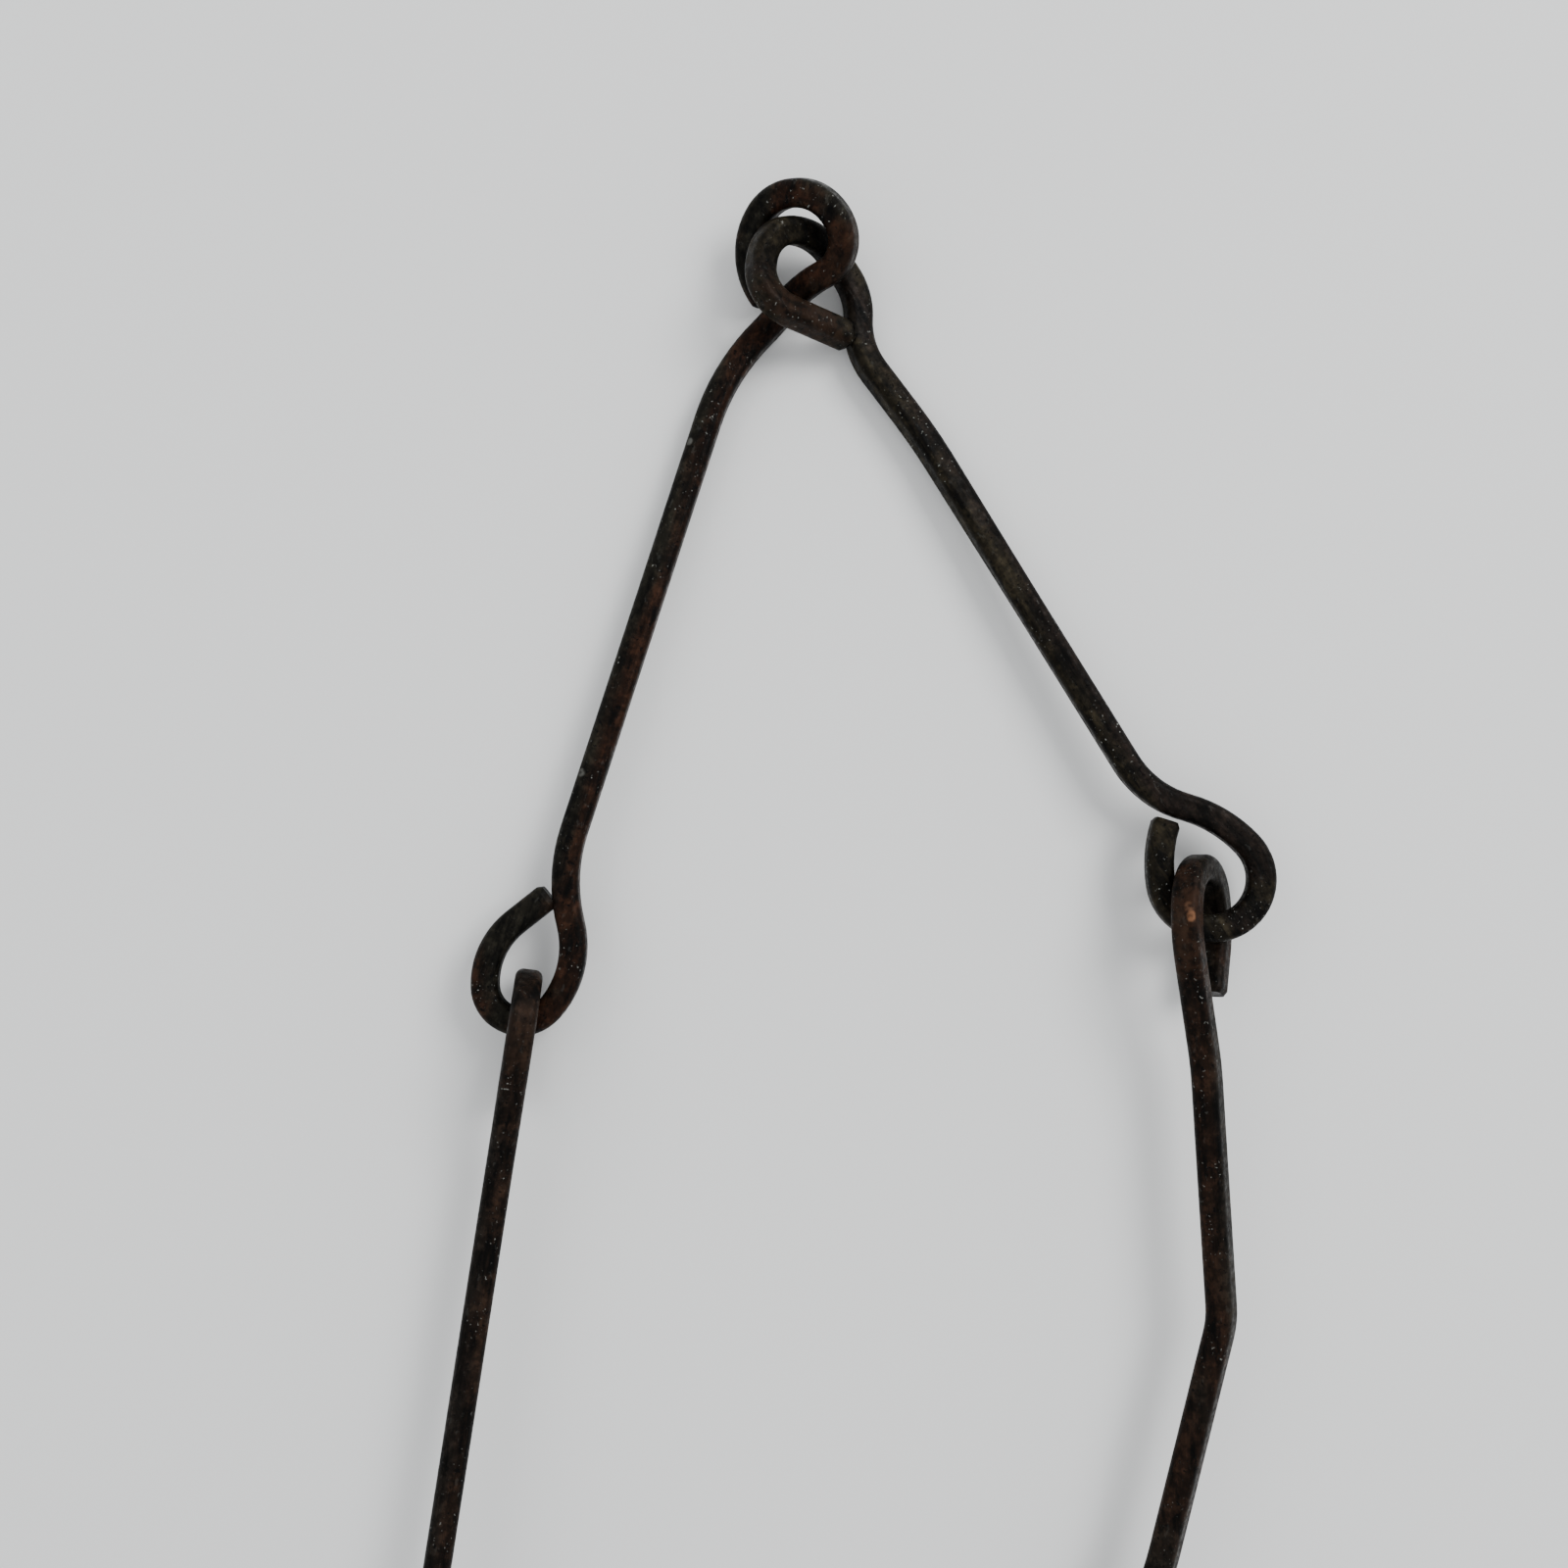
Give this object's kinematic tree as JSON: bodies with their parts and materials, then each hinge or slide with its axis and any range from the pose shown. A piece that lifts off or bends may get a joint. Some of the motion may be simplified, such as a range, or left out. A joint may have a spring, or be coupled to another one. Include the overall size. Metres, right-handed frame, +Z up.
{
  "type": "hooked bar link chain",
  "caption": "Length of chain made of long one-piece links bent from square bar, each with an eye at one end and a hook at the other, lying slack on a flat surface.",
  "frame": {"origin": "middle of the laid-out chain's own rectangle, on the surface it lies on", "axes": "+Y up the chain from the free hooks to the linked eyes, +Z up from the surface, +X to the right seen from above"},
  "size_m": [0.1314, 0.249, 0.019],
  "materials": {
    "link_upper_left_metal": "dark brown patina, worn satin",
    "link_upper_right_metal": "dark brown patina, worn satin",
    "link_lower_left_metal": "dark brown patina, worn satin",
    "link_lower_right_metal": "dark brown patina, worn satin"
  },
  "bodies": {
    "upper_left": {"link_upper_left": "link_upper_left_metal"},
    "upper_right": {"link_upper_right": "link_upper_right_metal"},
    "lower_left": {"link_lower_left": "link_lower_left_metal"},
    "lower_right": {"link_lower_right": "link_lower_right_metal"}
  },
  "joints": [
    {"name": "eyes_swing", "type": "hinge", "parent": "upper_left", "child": "upper_right", "pos_m": [-0.00174, 0.11077, 0.00795], "axis": [0, 0, 1], "range_deg": [-5, 40]},
    {"name": "left_hook_swing", "type": "hinge", "parent": "upper_left", "child": "lower_left", "pos_m": [-0.0442, 0.00788, 0.00668], "axis": [0, 0, 1], "range_deg": [-45, 20]},
    {"name": "right_hook_swing", "type": "hinge", "parent": "upper_right", "child": "lower_right", "pos_m": [0.05509, 0.02421, 0.0076], "axis": [0, 0, 1], "range_deg": [-20, 50]}
  ]
}
